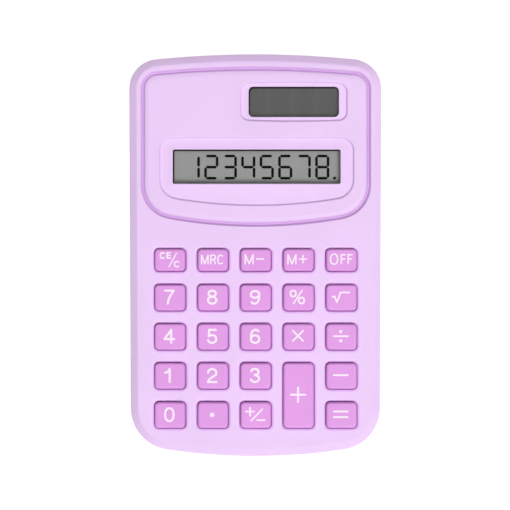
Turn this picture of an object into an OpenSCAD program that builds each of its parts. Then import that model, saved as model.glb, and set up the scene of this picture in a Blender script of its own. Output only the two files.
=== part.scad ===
// Slim dual-power pocket calculator: two-part case, eight-digit display, solar panel, 24 sprung keys.
// Millimetres. +X right, +Y towards the display end, +Z out of the keypad.
// Origin: middle of the outline, on the plane the back lies on.

/* [Case] */
// Length of the case along Y
case_length = 115; // [90:0.5:150]
// Width of the case
case_width = 72.2; // [60:0.1:90]
// Thickness of the case without the keys
case_height = 9.0; // [8.5:0.1:14]
// Radius of the bowed upper end
end_radius_top = 280; // [120:5:600]
// Radius of the bowed lower end
end_radius_bottom = 175; // [120:5:600]
// Corner radius at the display end
corner_top = 8.5; // [6:0.5:14]
// Corner radius at the lower end
corner_bottom = 12; // [6:0.5:16]
// Rounding of the front edge
front_round = 2.4; // [1:0.1:3]
// Rounding of the back edge
rear_round = 2.0; // [0.5:0.1:2.4]
// Thickness of the side walls
wall = 1.6; // [1.4:0.1:2.4]
// Thickness of the front face
face = 1.5; // [1:0.1:2.5]
// Thickness of the back
back = 1.3; // [1:0.1:2]
// Height of the parting line above the back
split = 4.0; // [3.5:0.1:5]

/* [Display] */
// Sideways offset of the display opening
display_x = 0.35; // [-2:0.05:2]
// Middle of the display opening along Y
display_y = 25.3; // [20:0.1:30]
// Width of the display opening
display_w = 47.9; // [40:0.1:52]
// Height of the display opening
display_h = 9.8; // [8:0.1:14]
// Corner radius of the display opening
display_r = 0.5; // [0.2:0.1:2]
// Height of one digit
digit_h = 7.1; // [5:0.1:9]
// Width of one digit
digit_w = 4.05; // [3:0.05:5]
// Distance from one digit to the next
digit_pitch = 5.3; // [4:0.05:6]
// Width of a segment
segment = 0.75; // [0.4:0.05:1]

/* [Solar panel] */
// Sideways offset of the solar opening
solar_x = 10.95; // [0:0.05:14]
// Middle of the solar opening along Y
solar_y = 43.8; // [40:0.1:46]
// Width of the solar opening
solar_w = 25.75; // [18:0.05:30]
// Height of the solar opening
solar_h = 8.65; // [6:0.05:10]
// Corner radius of the solar opening
solar_r = 1.3; // [0.2:0.1:3]

/* [Front relief] */
// Width of the groove round the display panel
groove_w = 1.4; // [0.8:0.1:2]
// Depth of the groove
groove_d = 0.9; // [0.2:0.05:1]
// Depth of the dishes at the openings
dish_d = 0.6; // [0.2:0.05:0.8]
// Depth of the dishes at their outer edge
dish_rim_d = 0.1; // [0.05:0.05:0.3]

/* [Keys] */
// Distance between key columns
key_pitch_x = 12.2; // [10:0.1:14]
// Distance between key rows
key_pitch_y = 11.15; // [9:0.05:13]
// Sideways offset of the keypad
keypad_x = 0.1; // [-1:0.05:1]
// Height of the second key row's middle along Y
keypad_y = -12.1; // [-20:0.1:0]
// Extra distance from the second row up to the short top row
top_row_y = 10.7; // [9:0.1:13]
// Width of a key cap
cap_w = 8.7; // [6:0.1:10]
// Height of a key cap
cap_h = 7.4; // [5:0.1:9]
// Height of a key cap in the top row
cap_h_top = 6.3; // [4:0.1:9]
// Corner radius of a key cap
cap_r = 1.2; // [1:0.1:2]
// Rounding of the cap's top edge
cap_round = 0.45; // [0.2:0.05:0.8]
// Gap round a cap in its hole
cap_gap = 0.25; // [0.15:0.05:0.5]
// How far the caps stand above the front face
cap_proud = 1.2; // [0.5:0.1:3]
// Travel of a key
travel = 0.8; // [0.4:0.1:1.2]
// Width of the flange that keeps a cap in
flange = 0.7; // [0.4:0.1:1]

/* [Fasteners] */
// Radius of a case screw's shank
screw_r = 0.85; // [0.6:0.05:1.2]
// Radius of a case screw's head
screw_head_r = 1.7; // [1.2:0.1:2.2]
// Radius of a board screw's shank
board_screw_r = 0.6; // [0.4:0.05:0.9]
// Radius of a board screw's head
board_head_r = 1.35; // [1:0.05:1.8]

/* [Battery] */
// Middle of the button cell across the case
cell_x = -16; // [-20:0.5:-12]
// Middle of the button cell along Y
cell_y = 45; // [42:0.5:47]
// Radius of the button cell
cell_r = 5.8; // [4:0.1:8]
// Thickness of the button cell
cell_h = 3.05; // [2:0.05:3.6]

/* [Hidden] */
$fn = 64;
big_fn = 720;
under = case_height - face;
ring = 5.0;
overlap = 0.8;
far = 40;
lap = 0.8;
lap_h = 0.8;
fit = 0.05;
cap_top = case_height + cap_proud;
flange_z = 6.75;
flange_t = 0.65;
plunger_r = 2.0;
cap_wall = 0.9;

board_z = 3.6;
board_t = 1.0;
board_top = board_z + board_t;
board_w = 59.6;
board_low = -50.3;
board_high = 35.5;
pad_t = 0.05;
pad_r = 2.5;
sheet_t = 0.5;
pill_r = 1.5;
pill_z = board_top + pad_t + travel;
pill_t = 0.4;

// outlines: half width, then y, end radius and corner radius at the upper end and at the lower end
case_shape = [case_width / 2, case_length / 2, end_radius_top, corner_top,
    -case_length / 2, end_radius_bottom, corner_bottom];
panel_shape = [32.95, 54.0, 300, 5.0, 8.05, 140, 10];
panel_x = 0.1;
dish_shape = [27.7, 33.6, 2500, 3.6, 14.2, 140, 5.5];
solar_dish_shape = [15.2, 49.4, 300, 2.6, 38.2, 300, 2.4];

lens_t = 0.7;
lens_top = under - 0.02;
lens_w = display_w + 4.1;
lens_h = 16.4;
lens_y = display_y - 1.7;
gasket_t = 0.3;
gasket_top = lens_top - lens_t;
polar_t = 0.15;
polar_top = gasket_top - gasket_t;
glass_t = 0.55;
glass_top = polar_top - polar_t;
layer_t = 0.05;
rear_glass_top = glass_top - glass_t - layer_t;
rear_glass_h = 13.9;
rear_glass_y = 24.85;
reflector_top = rear_glass_top - glass_t;
solar_lens_w = solar_w + 2.95;
solar_lens_h = solar_h + 2.75;
solar_cell_t = 1.1;
shade = 0.4;

case_screw_at = [[29.5, 49.5], [-29.5, 49.5], [31.9, 8], [-31.9, 8], [18.3, -52.6], [-18.3, -52.6]];
board_screw_at = [[-18.2, -6.75], [18.4, -6.75], [-18.2, -28.8], [18.4, -28.8], [-6, -39.95],
    [28, 33.7], [-28, 33.7]];
door_w = 15;
door_low = 34.2;
door_high = 53.2;
door_t = 1.15;
door_screw_y = 36.4;
holder_r = 6.0;
holder_t = 1.2;
holder_top = 4.9;
seat_top = 2.1;
wire_r = 0.25;

// name, column, row; the plus key is as tall as two rows
keys = [["key_clear", 0, 0], ["key_recall", 1, 0], ["key_memory_minus", 2, 0],
    ["key_memory_plus", 3, 0], ["key_off", 4, 0],
    ["key_7", 0, 1], ["key_8", 1, 1], ["key_9", 2, 1], ["key_percent", 3, 1], ["key_root", 4, 1],
    ["key_4", 0, 2], ["key_5", 1, 2], ["key_6", 2, 2], ["key_multiply", 3, 2], ["key_divide", 4, 2],
    ["key_1", 0, 3], ["key_2", 1, 3], ["key_3", 2, 3], ["key_plus", 3, 3.5], ["key_minus", 4, 3],
    ["key_0", 0, 4], ["key_point", 1, 4], ["key_sign", 2, 4], ["key_equals", 4, 4]];

shell_colour = [0.86, 0.70, 0.93];
cap_colour = [0.80, 0.45, 0.82];
steel = [0.75, 0.75, 0.77];

function key_at(k) = [
    keypad_x + (k[1] - 2) * key_pitch_x,
    k[2] == 0 ? keypad_y + top_row_y : keypad_y - (k[2] - 1) * key_pitch_y
];
function key_h(k) = k[2] == 0 ? cap_h_top : k[2] == 3.5 ? cap_h + key_pitch_y : cap_h;

// an outline with bowed ends and round corners, all tangent to one another
function bow_centre(p, top) = top ? [0, p[1] - p[2]] : [0, p[4] + p[5]];
function bow_r(p, top) = top ? p[2] : p[5];
function corner_r(p, top) = top ? p[3] : p[6];
function corner(p, top) =
    let(r = corner_r(p, top),
        reach = bow_r(p, top) - r,
        x = p[0] - r)
    [x, bow_centre(p, top)[1] + (top ? 1 : -1) * sqrt(reach * reach - x * x)];
function outwards(p, top) =
    let(v = corner(p, top) - bow_centre(p, top)) v / norm(v);
function turned(points, way) =
    way > 0 ? points : [for (i = [len(points) - 1:-1:0]) points[i]];
function to_side(points, side) = [for (q = points) [side * q[0], q[1]]];

// the plane is shared out between the corners, the ends and the sides
function corner_region(p, top, side) =
    let(c = corner(p, top),
        s = top ? 1 : -1,
        points = [c, c + [far, 0], c + [far, s * far], c + far * outwards(p, top)])
    turned(to_side(points, side), s * side);
function end_region(p, top) =
    let(c = corner(p, top),
        out = c + far * outwards(p, top))
    turned([[-c[0], c[1]], c, out, [-out[0], out[1]]], top ? 1 : -1);
function side_region(p, side) =
    let(low = corner(p, false),
        high = corner(p, true),
        points = [low, low + [far, 0], high + [far, 0], high])
    turned(to_side(points, side), side);

// a move in two steps, so that long decimals keep all their places
module precise(v) {
    coarse = [round(v[0] * 1000) / 1000, round(v[1] * 1000) / 1000];
    translate(coarse)
        translate(v - coarse)
            children();
}

module outline(p, in = 0) {
    difference() {
        intersection() {
            translate(bow_centre(p, true))
                circle(bow_r(p, true) - in, $fn = big_fn);
            translate(bow_centre(p, false))
                circle(bow_r(p, false) - in, $fn = big_fn);
            translate([in - p[0], p[4] - 1])
                square([2 * (p[0] - in), p[1] - p[4] + 2]);
        }
        for (top = [true, false])
            for (side = [-1, 1])
                polygon(corner_region(p, top, side));
    }
    for (top = [true, false])
        for (side = [-1, 1])
            intersection() {
                precise([side * corner(p, top)[0], corner(p, top)[1]])
                    circle(corner_r(p, top) - in, $fn = 128);
                polygon(corner_region(p, top, side));
            }
}

module within(region) {
    intersection() {
        translate([0, 0, -1])
            linear_extrude(case_height + 2)
                polygon(region);
        children();
    }
}

// a section drawn outwards from the outline, carried all the way round it
module carry_round(p) {
    for (side = [-1, 1]) {
        within(side_region(p, side))
            rotate(side > 0 ? 0 : 180)
                translate([p[0], case_length / 2, 0])
                    rotate([90, 0, 0])
                        linear_extrude(case_length)
                            children();
        for (top = [true, false])
            within(corner_region(p, top, side))
                precise([side * corner(p, top)[0], corner(p, top)[1]])
                    rotate_extrude($fn = 128)
                        translate([corner_r(p, top), 0])
                            children();
    }
    for (top = [true, false])
        within(end_region(p, top))
            translate(bow_centre(p, top))
                rotate(top ? 0 : 180)
                    rotate_extrude(angle = 180, $fn = big_fn)
                        translate([bow_r(p, top), 0])
                            children();
}

// a quarter disc in the upper right
module quarter(r) {
    intersection() {
        circle(r);
        square(r + 1);
    }
}

module rounded(w, h, r) {
    x = w / 2 - r;
    y = h / 2 - r;
    square([w, 2 * y], center = true);
    square([2 * x, h], center = true);
    for (q = [0:3])
        translate([[x, y], [-x, y], [-x, -y], [x, -y]][q])
            rotate(90 * q)
                quarter(r);
}

module plate(w, h, t, r) {
    linear_extrude(t)
        rounded(w, h, r);
}

module frame_plate(w, h, t, r, hole_w, hole_h, hole_r, hole_at) {
    linear_extrude(t)
        difference() {
            rounded(w, h, r);
            translate(hole_at)
                rounded(hole_w, hole_h, hole_r);
        }
}

module post(r, low, high) {
    translate([0, 0, low])
        cylinder(r = r, h = high - low);
}

module front_section() {
    lap_top = split + lap_h + 0.1;
    difference() {
        union() {
            polygon([[-ring, split], [0, split], [0, case_height - front_round],
                [-front_round, case_height - front_round], [-front_round, case_height],
                [-ring, case_height]]);
            translate([-front_round, case_height - front_round])
                quarter(front_round);
        }
        polygon([[-ring - 1, split - 1], [-lap, split - 1], [-lap, lap_top], [-wall, lap_top],
            [-wall, under], [-ring - 1, under]]);
    }
}

module rear_section() {
    lap_top = split + lap_h;
    difference() {
        union() {
            polygon([[-ring, 0], [-rear_round, 0], [-rear_round, rear_round], [0, rear_round],
                [0, split], [-lap - fit, split], [-lap - fit, lap_top], [-ring, lap_top]]);
            translate([-rear_round, rear_round])
                rotate(-90)
                    quarter(rear_round);
        }
        translate([-ring - 1, back])
            square([ring + 1 - wall, case_height]);
    }
}

// a recess whose floor slopes down from its outline to the opening in it
module dish(p, x, opening) {
    deep = case_height - dish_d;
    rim = case_height - dish_rim_d;
    clear = case_height + 1;
    half = p[0];
    low = p[4];
    high = p[1];
    translate([x, 0, 0])
        intersection() {
            translate([0, 0, deep - 0.1])
                linear_extrude(dish_d + 1)
                    outline(p);
            translate([0, high + 1, 0])
                rotate([90, 0, 0])
                    linear_extrude(high - low + 2)
                        polygon([[-half, rim], [-opening[0] / 2, deep], [opening[0] / 2, deep],
                            [half, rim], [half, clear], [-half, clear]]);
            translate([-half - 1, 0, 0])
                rotate([90, 0, 90])
                    linear_extrude(2 * half + 2)
                        polygon([[low, rim], [opening[1] - opening[2] / 2, deep],
                            [opening[1] + opening[2] / 2, deep], [high, rim], [high, clear],
                            [low, clear]]);
        }
}

module front_housing() {
    color(shell_colour)
        difference() {
            union() {
                carry_round(case_shape)
                    front_section();
                translate([0, 0, under])
                    linear_extrude(face)
                        outline(case_shape, ring - overlap);
                for (at = case_screw_at)
                    translate(at)
                        post(1.85, split, under + 0.5);
                for (at = board_screw_at)
                    translate(at)
                        post(1.55, board_top + fit, under + 0.5);
                translate([display_x, lens_y, board_top + 0.3])
                    frame_plate(lens_w + 2.2, lens_h + 2.2, under - board_top, 0.8,
                        lens_w + 0.4, lens_h + 0.4, 0.4, [0, 0]);
                translate([solar_x, solar_y, 5.6])
                    frame_plate(solar_lens_w + 2.0, solar_lens_h + 2.0, under - 5.4, 0.8,
                        solar_lens_w + 0.3, solar_lens_h + 0.3, 0.4, [0, 0]);
            }
            translate([panel_x, 0, case_height - groove_d])
                linear_extrude(groove_d + 1)
                    difference() {
                        outline(panel_shape);
                        outline(panel_shape, groove_w);
                    }
            dish(dish_shape, display_x, [display_w, display_y, display_h]);
            dish(solar_dish_shape, solar_x, [solar_w, solar_y, solar_h]);
            translate([display_x, display_y, under - 1])
                plate(display_w, display_h, face + 2, display_r);
            translate([solar_x, solar_y, under - 1])
                plate(solar_w, solar_h, face + 2, solar_r);
            for (k = keys)
                translate([key_at(k)[0], key_at(k)[1], under - 1])
                    plate(cap_w + 2 * cap_gap, key_h(k) + 2 * cap_gap, face + 2, cap_r + cap_gap);
            for (at = case_screw_at)
                translate(at)
                    post(screw_r + 0.03, split - 1, 7.3);
            for (at = board_screw_at)
                translate(at)
                    post(board_screw_r + 0.03, board_top - 1, 7.0);
        }
}

module rear_housing() {
    bay = [door_w + 0.3, door_high - door_low + 0.3];
    middle = [cell_x, (door_low + door_high) / 2];
    color(shell_colour)
        difference() {
            union() {
                carry_round(case_shape)
                    rear_section();
                linear_extrude(back)
                    outline(case_shape, ring - overlap);
                for (at = case_screw_at)
                    translate(at) {
                        post(2.6, 1, board_z - 0.2);
                        post(1.85, 1, split);
                    }
                translate([cell_x, 43.75, 1])
                    plate(door_w + 4, 22.1, seat_top - 1, 1.5);
                translate([cell_x, cell_y])
                    post(holder_r + holder_t, 1, holder_top);
                translate([cell_x, door_screw_y])
                    post(1.7, 1, 3.4);
                for (y = [-45, -20, 4.6])
                    translate([-27, y, 1])
                        cube([54, 1, 2.4]);
            }
            translate([middle[0], middle[1], -1])
                plate(bay[0], bay[1], back + 1, 1.6);
            translate([cell_x, cell_y])
                post(holder_r, 0, holder_top + 1);
            translate([cell_x, door_screw_y])
                post(board_screw_r + 0.03, 1, 3.1);
            for (side = [-1, 1])
                translate([cell_x + side * 4.5 - 1.7, 51.4, back - 0.2])
                    cube([3.4, 3.2, 2]);
            translate([cell_x + cell_r - 0.4, cell_y - 2.6, seat_top])
                cube([3, 5.2, 4]);
            for (at = case_screw_at)
                translate(at) {
                    post(screw_head_r + 0.15, -1, 1.45);
                    post(screw_r + 0.15, 1, split + 1);
                }
        }
}

module battery_door() {
    color(shell_colour)
        difference() {
            union() {
                translate([cell_x, (door_low + door_high) / 2, 0.05])
                    plate(door_w, door_high - door_low, door_t, 1.45);
                for (side = [-1, 1]) {
                    translate([cell_x + side * 4.5 - 1.5, 51.7, 1])
                        cube([3, 1.3, 0.9]);
                    translate([cell_x + side * 4.5 - 1.5, 51.7, back + 0.1])
                        cube([3, 2.6, 0.5]);
                }
            }
            translate([cell_x, door_screw_y]) {
                post(board_head_r + 0.1, -1, 0.75);
                post(board_screw_r + 0.12, 0, 3);
            }
            for (n = [0:4])
                translate([cell_x - 3, 49.2 + n * 0.7, -1])
                    cube([6, 0.3, 1.25]);
        }
}

// a pan head below its shank, with a crossed recess
module screw(r, head_r, head_low, head_high, tip) {
    difference() {
        union() {
            post(head_r, head_low, head_high);
            post(r, head_high - 0.1, tip - r);
            translate([0, 0, tip - r])
                cylinder(r1 = r, r2 = 0.2, h = r);
        }
        for (turn = [0, 90])
            rotate(turn)
                translate([-head_r * 0.6, -0.15, head_low - 0.5])
                    cube([head_r * 1.2, 0.3, 0.9]);
    }
}

module door_screw() {
    color(steel)
        translate([cell_x, door_screw_y])
            screw(board_screw_r, board_head_r, 0.1, 0.74, 3.0);
}

module case_screws() {
    color(steel)
        for (at = case_screw_at)
            translate(at)
                screw(screw_r, screw_head_r, 0.45, 1.44, 7.2);
}

module pcb_screws() {
    color(steel)
        for (at = board_screw_at)
            translate(at)
                screw(board_screw_r, board_head_r, 2.75, 3.59, 6.8);
}

module pcb() {
    color([0.55, 0.36, 0.18])
        difference() {
            translate([0, (board_low + board_high) / 2, board_z])
                plate(board_w, board_high - board_low, board_t, 2);
            for (at = board_screw_at)
                translate(at)
                    post(board_screw_r + 0.15, board_z - 1, board_top + 1);
        }
}

module contact_pads() {
    color([0.12, 0.12, 0.13])
        for (k = keys)
            for (side = [0, 1])
                translate([key_at(k)[0], key_at(k)[1], board_top])
                    mirror([side, 0, 0])
                        linear_extrude(pad_t)
                            intersection() {
                                circle(pad_r);
                                translate([0.2, -pad_r - 1])
                                    square([pad_r + 1, 2 * pad_r + 2]);
                            }
}

module cob_blob() {
    color([0.07, 0.07, 0.08])
        translate([-4, 12, 0])
            intersection() {
                translate([0, 0, board_z + 6.4])
                    sphere(r = 8.0);
                translate([-6, -6, board_z - 3])
                    cube([12, 12, 3]);
            }
}

module chip(at, length, width) {
    translate([at[0] - length / 2, at[1] - width / 2, board_z - 0.75])
        cube([length, width, 0.75]);
}

module capacitor_chips() {
    color([0.72, 0.60, 0.42]) {
        chip([8, 14], 2.0, 1.25);
        chip([8, 10], 2.0, 1.25);
    }
}

module resistor_chip() {
    color([0.12, 0.12, 0.13])
        chip([12.5, 12], 1.25, 2.0);
}

module battery_cell() {
    low = 0.05 + door_t + 0.05;
    color(steel)
        translate([cell_x, cell_y]) {
            post(cell_r, low, low + cell_h - 0.3);
            post(cell_r - 0.8, low + cell_h - 0.3, low + cell_h);
        }
}

module battery_contact_positive() {
    x = cell_x + cell_r + 0.05;
    color(steel) {
        translate([x, cell_y - 2.4, seat_top + 0.05])
            cube([0.25, 4.8, 3.5]);
        translate([x, cell_y - 1, seat_top + 3.3])
            cube([2.6, 2, 0.25]);
    }
}

module battery_contact_negative() {
    bump_low = 0.05 + door_t + 0.05 + cell_h + 0.02;
    color(steel) {
        translate([cell_x - 1.5, 37, holder_top + 0.02])
            cube([3, 15.1, 0.25]);
        translate([cell_x, cell_y])
            post(1.3, bump_low, holder_top + 0.1);
    }
}

// a round wire through its route's points, drawn as one eight-sided sweep
module wire(route) {
    last = len(route) - 1;
    rings = [for (i = [0:last])
        let(t = route[min(i + 1, last)] - route[max(i - 1, 0)],
            d = t / norm(t),
            s = cross([0, 0, 1], d),
            side = s / norm(s),
            up = cross(d, side))
        for (a = [0:45:315]) route[i] + wire_r * (cos(a) * side + sin(a) * up)];
    walls = [for (i = [0:last - 1])
        for (j = [0:7])
            [i * 8 + j, i * 8 + (j + 1) % 8, (i + 1) * 8 + (j + 1) % 8, (i + 1) * 8 + j]];
    polyhedron(rings, concat([[for (j = [7:-1:0]) j]], walls, [[for (j = [0:7]) last * 8 + j]]),
        convexity = 4);
}

battery_route_positive = [[-8.2, 44.6, 5.92], [-7.6, 43.6, 5.92], [-6.9, 41.5, 5.8],
    [-6.4, 39.0, 5.4], [-6.1, 37.0, 5.05], [-6.0, 35.6, 4.88], [-6.0, 34.0, 4.86]];
battery_route_negative = [[-16, 38.3, 5.43], [-16, 37.3, 5.43], [-16, 36.6, 5.3],
    [-16, 35.8, 5.0], [-16, 35.2, 4.88], [-16, 34.0, 4.86]];
solar_route_positive = [[1, 42, 5.12], [1, 40, 5.12], [0.8, 38, 5.08], [0.4, 36.6, 4.98],
    [0.1, 35.4, 4.88], [0, 34.0, 4.86]];
solar_route_negative = [[21, 42, 5.12], [21, 40, 5.12], [20.8, 38, 5.08], [20.4, 36.6, 4.98],
    [20.1, 35.4, 4.88], [20, 34.0, 4.86]];

module battery_wire_positive() {
    color([0.75, 0.10, 0.10])
        wire(battery_route_positive);
}

module battery_wire_negative() {
    color([0.10, 0.10, 0.11])
        wire(battery_route_negative);
}

module solar_wire_positive() {
    color([0.75, 0.10, 0.10])
        wire(solar_route_positive);
}

module solar_wire_negative() {
    color([0.10, 0.10, 0.11])
        wire(solar_route_negative);
}

module display_lens() {
    color([0.80, 0.80, 0.82, 0.4])
        translate([display_x, lens_y, lens_top - lens_t])
            plate(lens_w, lens_h, lens_t, 0.4);
}

module display_gasket() {
    color([0.06, 0.06, 0.07])
        translate([display_x, lens_y, gasket_top - gasket_t])
            frame_plate(lens_w, lens_h, gasket_t, 0.4, display_w, display_h, 0.3,
                [shade, display_y - lens_y - shade]);
}

module lcd_front_polarizer() {
    color([0.55, 0.57, 0.54, 0.5])
        translate([display_x, rear_glass_y, polar_top - polar_t])
            plate(lens_w - 0.6, rear_glass_h - 0.4, polar_t, 0.3);
}

module lcd_front_glass() {
    color([0.70, 0.75, 0.72, 0.4])
        translate([display_x, lens_y, glass_top - glass_t])
            plate(lens_w, lens_h, glass_t, 0.2);
}

// one bar of a digit, lying along X, with pointed ends
module bar(length) {
    h = segment / 2;
    polygon([[-length / 2, 0], [h - length / 2, -h], [length / 2 - h, -h], [length / 2, 0],
        [length / 2 - h, h], [h - length / 2, h]]);
}

// bars in the order top, upper right, lower right, bottom, lower left, upper left, middle
lit = [[1, 2], [0, 1, 6, 4, 3], [0, 1, 6, 2, 3], [5, 6, 1, 2], [0, 5, 6, 2, 3],
    [0, 5, 4, 3, 2, 6], [0, 1, 2], [0, 1, 2, 3, 4, 5, 6]];

module digit(n) {
    x = (digit_w - segment) / 2;
    y = (digit_h - segment) / 2;
    gap = 0.14;
    place = [[0, y, 0], [x, y / 2, 90], [x, -y / 2, 90], [0, -y, 0], [-x, -y / 2, 90],
        [-x, y / 2, 90], [0, 0, 0]];
    for (s = lit[n])
        translate([place[s][0], place[s][1]])
            rotate(place[s][2])
                bar((place[s][2] == 90 ? y : 2 * x) - gap);
}

module lcd_segments() {
    color([0.05, 0.05, 0.06])
        translate([display_x, display_y - 0.05, rear_glass_top + 0.005])
            linear_extrude(layer_t - 0.01) {
                for (n = [0:7])
                    translate([18.82 - (7 - n) * digit_pitch, 0])
                        digit(n);
                translate([22.35, 0.42 - digit_h / 2])
                    circle(0.42);
            }
}

module lcd_rear_glass() {
    color([0.70, 0.75, 0.72, 0.4])
        translate([display_x, rear_glass_y, rear_glass_top - glass_t])
            plate(lens_w, rear_glass_h, glass_t, 0.2);
}

module lcd_reflector() {
    color([0.60, 0.61, 0.60])
        translate([display_x, rear_glass_y, reflector_top - polar_t])
            plate(lens_w - 0.6, rear_glass_h - 0.4, polar_t, 0.3);
}

module lcd_foam_pad() {
    high = reflector_top - polar_t - 0.02;
    color([0.25, 0.25, 0.27])
        translate([display_x, rear_glass_y, board_top])
            plate(lens_w - 2, rear_glass_h - 2, high - board_top, 0.5);
}

module zebra_strip() {
    low_edge = lens_y - lens_h / 2;
    color([0.85, 0.55, 0.60])
        translate([display_x - 24, low_edge + 0.15, board_top])
            cube([48, 1.9, glass_top - glass_t - board_top]);
}

module solar_lens() {
    color([0.80, 0.80, 0.82, 0.4])
        translate([solar_x, solar_y, lens_top - lens_t])
            plate(solar_lens_w, solar_lens_h, lens_t, 0.4);
}

module solar_gasket() {
    color([0.06, 0.06, 0.07])
        translate([solar_x, solar_y, gasket_top - gasket_t])
            frame_plate(solar_lens_w, solar_lens_h, gasket_t, 0.4, solar_w, solar_h, solar_r,
                [shade, -shade]);
}

module solar_cell() {
    color([0.22, 0.16, 0.17])
        translate([solar_x, solar_y, polar_top - solar_cell_t])
            plate(solar_lens_w - 0.4, solar_lens_h - 0.4, solar_cell_t, 0.2);
}

module dome_sheet() {
    color([0.86, 0.86, 0.84])
        difference() {
            union() {
                translate([0, -23.25, board_top])
                    plate(58.8, 53.5, sheet_t, 2);
                for (k = keys)
                    translate([key_at(k)[0], key_at(k)[1], board_top + sheet_t])
                        cylinder(r1 = 3.6, r2 = 2.4, h = 1.05);
                for (k = keys)
                    translate(key_at(k))
                        post(2.1, board_top + sheet_t + 0.6, flange_z - fit);
            }
            for (k = keys) {
                translate(key_at(k))
                    post(3.0, board_top - 1, board_top + sheet_t);
                translate([key_at(k)[0], key_at(k)[1], board_top + sheet_t])
                    cylinder(r1 = 3.0, r2 = 1.9, h = pill_z + pill_t - board_top - sheet_t);
            }
            for (at = board_screw_at)
                translate(at)
                    post(1.9, board_top - 1, board_top + sheet_t + 1);
        }
}

module carbon_pills() {
    color([0.08, 0.08, 0.09])
        for (k = keys)
            translate(key_at(k))
                post(pill_r, pill_z, pill_z + pill_t);
}

module cap_section() {
    polygon([[flange, flange_z], [flange, flange_z + flange_t], [0, flange_z + flange_t],
        [0, cap_top - cap_round], [-cap_round, cap_top - cap_round], [-cap_round, cap_top],
        [-cap_wall, cap_top], [-cap_wall, flange_z]]);
    translate([-cap_round, cap_top - cap_round])
        quarter(cap_round);
}

module key_cap(k) {
    h = key_h(k);
    x = cap_w / 2 - cap_r;
    y = h / 2 - cap_r;
    color(cap_colour)
        translate(key_at(k)) {
            for (q = [0:3]) {
                rotate(90 * q)
                    translate([q % 2 == 0 ? cap_w / 2 : h / 2, q % 2 == 0 ? y : x, 0])
                        rotate([90, 0, 0])
                            linear_extrude(q % 2 == 0 ? 2 * y : 2 * x)
                                cap_section();
                translate([[x, y], [-x, y], [-x, -y], [x, -y]][q])
                    rotate(90 * q)
                        rotate_extrude(angle = 90)
                            translate([cap_r, 0])
                                cap_section();
            }
            translate([0, 0, case_height])
                plate(cap_w - 1.2, h - 1.2, cap_proud, cap_r - 0.6);
            post(plunger_r, flange_z, case_height + 0.5);
        }
}

front_housing();
rear_housing();
battery_door();
door_screw();
case_screws();
pcb_screws();
pcb();
contact_pads();
cob_blob();
capacitor_chips();
resistor_chip();
battery_cell();
battery_contact_positive();
battery_contact_negative();
battery_wire_positive();
battery_wire_negative();
solar_wire_positive();
solar_wire_negative();
display_lens();
display_gasket();
lcd_front_polarizer();
lcd_front_glass();
lcd_segments();
lcd_rear_glass();
lcd_reflector();
lcd_foam_pad();
zebra_strip();
solar_lens();
solar_gasket();
solar_cell();
dome_sheet();
carbon_pills();
for (k = keys)
    key_cap(k);
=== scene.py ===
"""Looks of a slim two-power pocket calculator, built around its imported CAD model.

Meshes are drawn in millimetres, in the frame's axes: +X right, +Y to the display end, +Z out of the keys.
They are scaled to metres when they are finished.
"""

import math

import bmesh
import bpy
from mathutils import Matrix, Vector
from mathutils.geometry import delaunay_2d_cdt


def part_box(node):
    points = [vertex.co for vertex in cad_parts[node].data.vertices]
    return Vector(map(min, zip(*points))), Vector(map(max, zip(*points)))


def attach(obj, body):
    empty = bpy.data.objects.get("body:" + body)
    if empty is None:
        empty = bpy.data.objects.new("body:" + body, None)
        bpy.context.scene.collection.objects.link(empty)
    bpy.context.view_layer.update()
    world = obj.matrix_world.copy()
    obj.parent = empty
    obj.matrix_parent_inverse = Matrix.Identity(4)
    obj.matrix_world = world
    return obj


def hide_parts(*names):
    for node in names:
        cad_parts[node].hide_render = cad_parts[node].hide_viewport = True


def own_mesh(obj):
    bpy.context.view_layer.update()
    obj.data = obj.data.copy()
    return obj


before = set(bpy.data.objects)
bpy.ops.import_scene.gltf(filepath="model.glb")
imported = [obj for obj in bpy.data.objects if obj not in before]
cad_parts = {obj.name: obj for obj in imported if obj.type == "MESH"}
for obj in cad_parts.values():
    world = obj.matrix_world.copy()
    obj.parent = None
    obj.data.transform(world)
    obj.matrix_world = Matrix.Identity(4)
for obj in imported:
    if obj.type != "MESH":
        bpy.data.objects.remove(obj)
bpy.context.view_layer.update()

MM = 0.001

# ---------------------------------------------------------------- sizes

STRAIGHT = 1e5          # an end radius this large is a straight edge
FACE = 9.0              # front face
UNDER = 7.5             # inner side of the front face
SPLIT = 4.0             # parting line between the two halves
BACK = 1.3              # thickness of the rear wall
WALL = 1.6              # thickness of the side walls
REBATE = 0.8            # the front's edge is this thick where the rear's lip goes into it
LIP_TOP = 4.8
POST_END = 4.65         # the board posts end here, just over the board
LIP_FACE = 0.85         # from the case's outline to the outer side of the lip
SEAM = 0.14             # bevel on each side of the parting line
CAP_TOP = 10.18
INK = 0.02              # the print stands this far out of a cap, and reaches as far into it

# half width, then y, end radius and corner radius at the upper end and at the lower end
CASE = (36.1, 57.5, 280, 8.5, -57.5, 175, 12)
PANEL = (32.95, 54.0, 300, 5.0, 8.05, 140, 10)
DISH = (27.7, 33.6, 2500, 3.6, 14.2, 140, 5.5)
SOLAR_DISH = (15.2, 49.4, 300, 2.6, 38.2, 300, 2.4)
PANEL_X = 0.1           # the panel is a little off the middle
GROOVE_FLOOR = 8.1
DISPLAY_AT, DISPLAY_SIZE, DISPLAY_R = (0.35, 25.3), (47.9, 9.8), 0.5
SOLAR_AT, SOLAR_SIZE, SOLAR_R = (10.95, 43.8), (25.75, 8.65), 1.3
DISH_FLOOR = 8.3
# each side comes in by TAPER_BY between these two places along Y, and goes on at that slope
TAPER_FROM, TAPER_TO, TAPER_BY = 46, -37, 0.4
TAPER = TAPER_BY / CASE[0] / (TAPER_FROM - TAPER_TO)

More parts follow.
